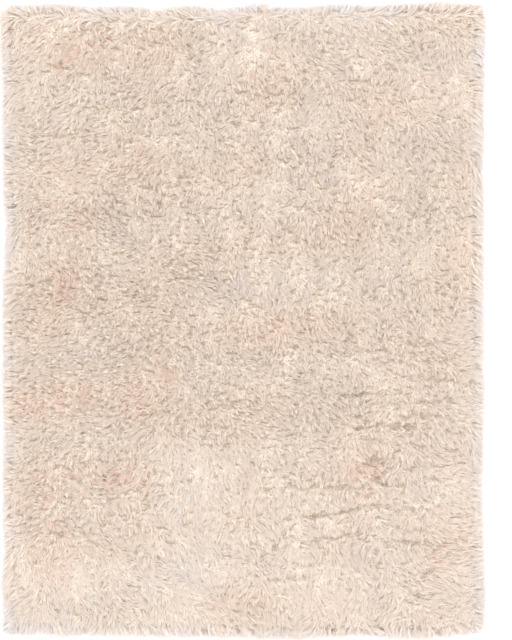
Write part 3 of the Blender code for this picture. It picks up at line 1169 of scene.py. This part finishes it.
def rounded_grid(cloth, across, along):
    """A flat grid over the ground cloth with rounded corners, and how far inside its edge it is.

    across and along are the grid's lines between the corners, from the middle out. A point further
    out than a corner's centre both ways is moved on its ray from that centre, so that its larger
    offset becomes its distance: squares round the centre become circles.
    """
    straight = cloth_half(cloth) - cloth.corner
    middle = (FRAME_HIGH[:2] + FRAME_LOW[:2]) / 2
    rim = cloth.corner * np.array(CORNER_LINES)
    lines = []
    for inner, end in zip((across, along), straight):
        lines.append(np.concatenate((-end - rim[::-1], inner, end + rim)))
    grid = np.stack(np.meshgrid(*lines), axis=-1)
    past = np.maximum(np.abs(grid) - straight, 0)
    larger = past.max(axis=-1)
    distance = np.linalg.norm(past, axis=-1)
    squeeze = np.where(distance > 0, larger / np.maximum(distance, 1e-9), 1.0)
    grid = grid - np.sign(grid) * past * (1 - squeeze[..., None])
    return grid + middle, cloth.corner - larger


def grid_mesh(name, flat, height, closed=False):
    """A mesh of a flat grid raised to a height, with a face for each cell, facing up.

    A closed one has one more face, which joins the whole rim and faces down.
    """
    rows, columns = flat.shape[:2]
    height = np.broadcast_to(height, (rows, columns))
    points = np.concatenate((flat, height[..., None]), axis=-1)
    number = np.arange(rows * columns).reshape(rows, columns)
    cells = (number[:-1, :-1], number[:-1, 1:], number[1:, 1:], number[1:, :-1])
    faces = np.stack(cells, axis=-1).reshape(-1, 4).tolist()
    if closed:
        rim = (number[:-1, 0], number[-1, :-1], number[:0:-1, -1], number[0, :0:-1])
        faces.append(np.concatenate(rim).tolist())
    mesh = bpy.data.meshes.new(name)
    mesh.from_pydata(points.reshape(-1, 3).tolist(), [], faces)
    mesh.shade_smooth()
    return mesh


class RUG_OT_under_pile(bpy.types.Operator):
    """Make the under-pile, the tufts' lower halves, which are too crowded to see between."""

    bl_idname = "rug.under_pile"
    bl_label = "Under-pile"

    def execute(self, context):
        rug = rug_of(context.scene)
        pile, cloth = rug.pile, rug.cloth
        right, head = cloth_half(cloth) - cloth.corner
        across = even_lines(-right, right, pile.crowd_cell)
        foot_lines = even_lines(-head, PARTED_FROM, pile.crowd_cell)
        parted_lines = even_lines(PARTED_FROM, PARTED_TO, PARTED_CELL)
        head_lines = even_lines(PARTED_TO, head, pile.crowd_cell)
        along = np.concatenate((foot_lines[:-1], parted_lines[:-1], head_lines))
        flat, inside = rounded_grid(cloth, across, along)
        places = flat.reshape(-1, 2)
        parted = how_parted(places)
        uneven = rippled(places, UNDER_RIPPLES) - PARTING_DEPTH * parted
        share = np.clip(inside / cloth.corner, 0, 1)
        height = crowd_top(inside, rug) + uneven.reshape(inside.shape) * share
        mesh = grid_mesh("pile_under", flat, height, closed=True)
        # The same depth masks the partings' painted shade in the under-pile's material.
        layer = mesh.attributes.new(PARTED, "FLOAT", "POINT")
        layer.data.foreach_set("value", parted.astype(np.float32))
        rug_piece("pile_under", mesh, crowd_material("cream_under_pile", pile.crowd_shade_colour))
        return {"FINISHED"}


class RUG_OT_field_pile(bpy.types.Operator):
    """Make the field of the pile, in bands from foot to head."""

    bl_idname = "rug.field_pile"
    bl_label = "Field pile"

    def execute(self, context):
        rug = rug_of(context.scene)
        for band, name in enumerate(FIELD_BANDS):
            tufted_piece(f"pile_{name}", field_roots(rug, band), rug, seed=10 + band)
        # Dark strands of painted shade down in the breaks.
        yarn_piece("pile_shade_rows", [shade_rows(rug)], rug.pile)
        return {"FINISHED"}


class RUG_OT_border_pile(bpy.types.Operator):
    """Make the rolled border of the pile, which hangs over the ground cloth's edge."""

    bl_idname = "rug.border_pile"
    bl_label = "Border pile"

    def execute(self, context):
        rug = rug_of(context.scene)
        rows = [border_roots(rug, inset, 200 + row) for row, inset in enumerate(BORDER_INSETS)]
        tufted_piece("pile_border", np.vstack(rows), rug, seed=20)
        crowded = crowd_material("cream_rim_pile", rug.pile.roll_colour)
        rug_piece("pile_roll", roll_mesh(rug.outline), crowded)
        return {"FINISHED"}


class RUG_OT_ground_cloth(bpy.types.Operator):
    """Make the ground cloth under the pile, which must be made first."""

    bl_idname = "rug.ground_cloth"
    bl_label = "Ground cloth"

    def execute(self, context):
        pile = [each for each in context.scene.objects if each.name.startswith("pile_")]
        if not pile:
            raise RuntimeError("make the pile before the ground cloth")
        cloth = context.scene.rug_cloth
        right, head = cloth_half(cloth) - cloth.corner
        across, along = (even_lines(-reach, reach, CLOTH_CELL) for reach in (right, head))
        flat, _ = rounded_grid(cloth, across, along)
        mesh = grid_mesh("ground_cloth", flat, cloth.thickness / 2)
        piece = rug_piece("ground_cloth", mesh, cloth_material(cloth.colour))
        thicken = piece.modifiers.new("thickness", "SOLIDIFY")
        thicken.thickness = cloth.thickness - 2 * CLEAR
        thicken.offset = 0.0
        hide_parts(RUG_NODE)
        return {"FINISHED"}


# ---------------------------------------------------------------------------------------------
# The stage

Lamp = namedtuple("Lamp", "name place size power colour")
LAMPS = (
    Lamp("key", (-1.6, 1.8, 3.2), 2.6, 9.0, (1.0, 0.98, 0.96)),
    Lamp("fill", (1.8, -1.4, 3.4), 3.0, 6.5, (0.97, 0.98, 1.0)),
)
WORLD_COLOUR = (1.0, 0.995, 0.99, 1.0)
WORLD_STRENGTH = 1.53
FLOOR_COLOUR = (0.86, 0.86, 0.865, 1.0)
FLOOR_REACH = 8.0
FLOOR_LEVEL = -0.0005
SENSOR_WIDTH = 36.0  # millimetres


def stage_object(name, data):
    """An object of the stage with this data."""
    made = bpy.data.objects.new(name, data)
    bpy.context.scene.collection.objects.link(made)
    return made


def add_floor():
    """A wide, pale floor, a little under the rug."""
    ends = (-FLOOR_REACH, FLOOR_REACH)
    mesh = grid_mesh("floor", np.stack(np.meshgrid(ends, ends), axis=-1), FLOOR_LEVEL)
    material, _, _ = new_material("pale_floor", Base_Color=FLOOR_COLOUR, Roughness=0.9)
    mesh.materials.append(material)
    stage_object("floor", mesh)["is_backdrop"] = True


def add_lamp(lamp):
    """A square area light that faces the rug's middle."""
    light = bpy.data.lights.new(lamp.name, "AREA")
    light.size = lamp.size
    light.energy = lamp.power
    light.color = lamp.colour
    holder = stage_object(lamp.name, light)
    holder.location = lamp.place
    holder.rotation_euler = holder.location.to_track_quat("Z", "Y").to_euler()


def add_world():
    """An even, white light from all round."""
    world = bpy.data.worlds.new("pale_room")
    world.use_nodes = True
    sky = world.node_tree.nodes["Background"]
    sky.inputs["Color"].default_value = WORLD_COLOUR
    sky.inputs["Strength"].default_value = WORLD_STRENGTH
    bpy.context.scene.world = world


def add_camera(stage):
    """A camera straight over the rug, as high as sees the view height at the pile's top."""
    camera = bpy.data.cameras.new("camera")
    camera.lens = stage.lens
    camera.sensor_width = SENSOR_WIDTH
    holder = stage_object("camera", camera)
    distance = stage.lens / camera.sensor_width * stage.view_height
    holder.location = (stage.view_right, stage.view_up, FRAME_HIGH[2] + distance)
    bpy.context.scene.camera = holder


class RUG_OT_stage(bpy.types.Operator):
    """Make the pale floor, the soft lights and the camera over the rug."""

    bl_idname = "rug.stage"
    bl_label = "Stage"

    def execute(self, context):
        add_floor()
        for lamp in LAMPS:
            add_lamp(lamp)
        add_world()
        add_camera(context.scene.rug_stage)
        context.scene.view_settings.view_transform = "Standard"
        return {"FINISHED"}


class RUG_PT_panel(bpy.types.Panel):
    """The steps of the rug, in order."""

    bl_label = "Shag rug"
    bl_idname = "RUG_PT_panel"
    bl_space_type = "VIEW_3D"
    bl_region_type = "UI"
    bl_category = "Shag rug"

    def draw(self, context):
        groups = (
            ("Pile", context.scene.rug_pile),
            ("Ground cloth", context.scene.rug_cloth),
            ("Stage", context.scene.rug_stage),
        )
        for title, group in groups:
            box = self.layout.box()
            box.label(text=title)
            for name in group.__annotations__:
                box.prop(group, name)
        for operator in OPERATORS:
            self.layout.operator(operator.bl_idname)


GROUPS = {
    "rug_pile": RugPileSettings,
    "rug_cloth": RugClothSettings,
    "rug_stage": RugStageSettings,
}
OPERATORS = (
    RUG_OT_under_pile,
    RUG_OT_field_pile,
    RUG_OT_border_pile,
    RUG_OT_ground_cloth,
    RUG_OT_stage,
)


def register():
    """Add the settings, the operators and the panel."""
    for group in GROUPS.values():
        bpy.utils.register_class(group)
    for name, group in GROUPS.items():
        setattr(bpy.types.Scene, name, PointerProperty(type=group))
    for made in (*OPERATORS, RUG_PT_panel):
        bpy.utils.register_class(made)


def unregister():
    """Take them away again, the last one first."""
    for made in (RUG_PT_panel, *reversed(OPERATORS)):
        bpy.utils.unregister_class(made)
    for name, group in GROUPS.items():
        delattr(bpy.types.Scene, name)
        bpy.utils.unregister_class(group)


def main():
    """Make the rug and its stage."""
    register()
    bpy.ops.rug.under_pile()
    bpy.ops.rug.field_pile()
    bpy.ops.rug.border_pile()
    bpy.ops.rug.ground_cloth()
    bpy.ops.rug.stage()


if __name__ == "__main__":
    main()
